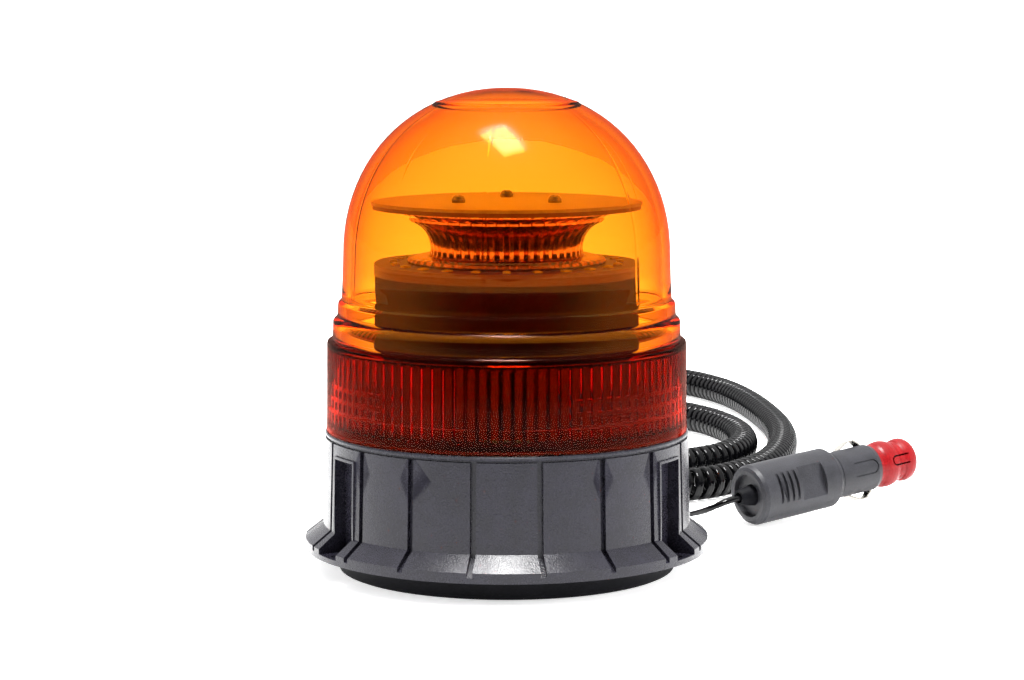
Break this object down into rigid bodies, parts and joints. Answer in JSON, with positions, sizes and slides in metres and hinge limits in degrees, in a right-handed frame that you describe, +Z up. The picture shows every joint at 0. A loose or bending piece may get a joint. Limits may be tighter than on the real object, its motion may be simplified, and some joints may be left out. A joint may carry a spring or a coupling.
{
  "type": "led warning beacon",
  "caption": "Amber warning beacon with a clear fluted dome on a ribbed dark base with a magnetic foot, a black curly cord and a 12 V lighter plug with a red adapter.",
  "frame": {"origin": "centre of the magnetic foot's lower face", "axes": "+Z up along the axis of the dome, -Y towards the front of the lamp, +X towards the plug's side"},
  "size_m": [0.2613, 0.586, 0.1897],
  "materials": {
    "housing_plastic": "fine grain moulded",
    "seal_rubber": "matt",
    "ferrite": "ground",
    "steel": "zinc plated",
    "circuit_board": "solder mask",
    "component_plastic": "moulded",
    "wire_insulation": "extruded",
    "drum_plastic": "moulded",
    "spreader_aluminium": "turned",
    "led_board": "white solder mask",
    "led_package": "clear dome",
    "reflector_chrome": "vacuum metallised",
    "amber_lens": "polished polycarbonate",
    "cord_pvc": "glossy extruded",
    "plug_plastic": "spark eroded",
    "red_plastic": "moulded",
    "fuse_glass": "clear",
    "contact_metal": "nickel plated"
  },
  "bodies": {
    "root": {"base_housing": "housing_plastic", "lens_seal": "seal_rubber", "rubber_boot": "seal_rubber", "magnet_ring": "ferrite", "magnet_plate": "steel", "foot_screws": "steel", "driver_board": "circuit_board", "driver_components": "component_plastic", "board_screws": "steel", "inner_leads": "wire_insulation", "riser_drum": "drum_plastic", "riser_screws": "steel", "heat_spreader": "spreader_aluminium", "lower_led_board": "led_board", "lower_leds": "led_package", "board_leads": "wire_insulation", "reflector": "reflector_chrome", "standoffs": "steel", "upper_led_board": "led_board", "upper_leds": "led_package", "top_plate": "drum_plastic", "top_screws": "steel", "cable_gland": "seal_rubber", "cord_lead": "cord_pvc", "curly_cord": "cord_pvc", "cord_tail": "cord_pvc", "plug_relief": "seal_rubber", "plug_shell_front": "plug_plastic", "plug_shell_rear": "plug_plastic", "plug_screw": "steel", "adapter_spigot": "plug_plastic", "fuse": "fuse_glass", "tip_spring": "contact_metal"},
    "lens": {"lens": "amber_lens"},
    "adapter": {"adapter": "red_plastic"},
    "tip": {"tip_contact": "contact_metal"},
    "leaf_upper": {"side_contact_upper": "contact_metal"},
    "leaf_lower": {"side_contact_lower": "contact_metal"}
  },
  "joints": [
    {"name": "lens_twist", "type": "hinge", "parent": "root", "child": "lens", "pos_m": [0, 0, 0.0555], "axis": [0, 0, 1], "range_deg": [0, 18]},
    {"name": "adapter_pull", "type": "slide", "parent": "root", "child": "adapter", "axis": [0.8349, 0.5422, 0.0941], "range_m": [0, 0.018]},
    {"name": "tip_press", "type": "slide", "parent": "root", "child": "tip", "axis": [-0.8349, -0.5422, -0.0941], "range_m": [0, 0.0025], "stiffness_N_per_m": 800, "springref_m": -0.003, "deforming": ["tip_spring"]},
    {"name": "leaf_upper_flex", "type": "hinge", "parent": "root", "child": "leaf_upper", "pos_m": [0.14066, 0.10925, 0.02559], "axis": [-0.5018, 0.8203, -0.2744], "range_deg": [0, 8], "stiffness_Nm_per_rad": 0.5, "springref_deg": -5.73},
    {"name": "leaf_lower_flex", "type": "hinge", "parent": "root", "child": "leaf_lower", "pos_m": [0.1445, 0.10615, 0.00933], "axis": [0.5018, -0.8203, 0.2744], "range_deg": [0, 8], "stiffness_Nm_per_rad": 0.5, "springref_deg": -5.73}
  ]
}
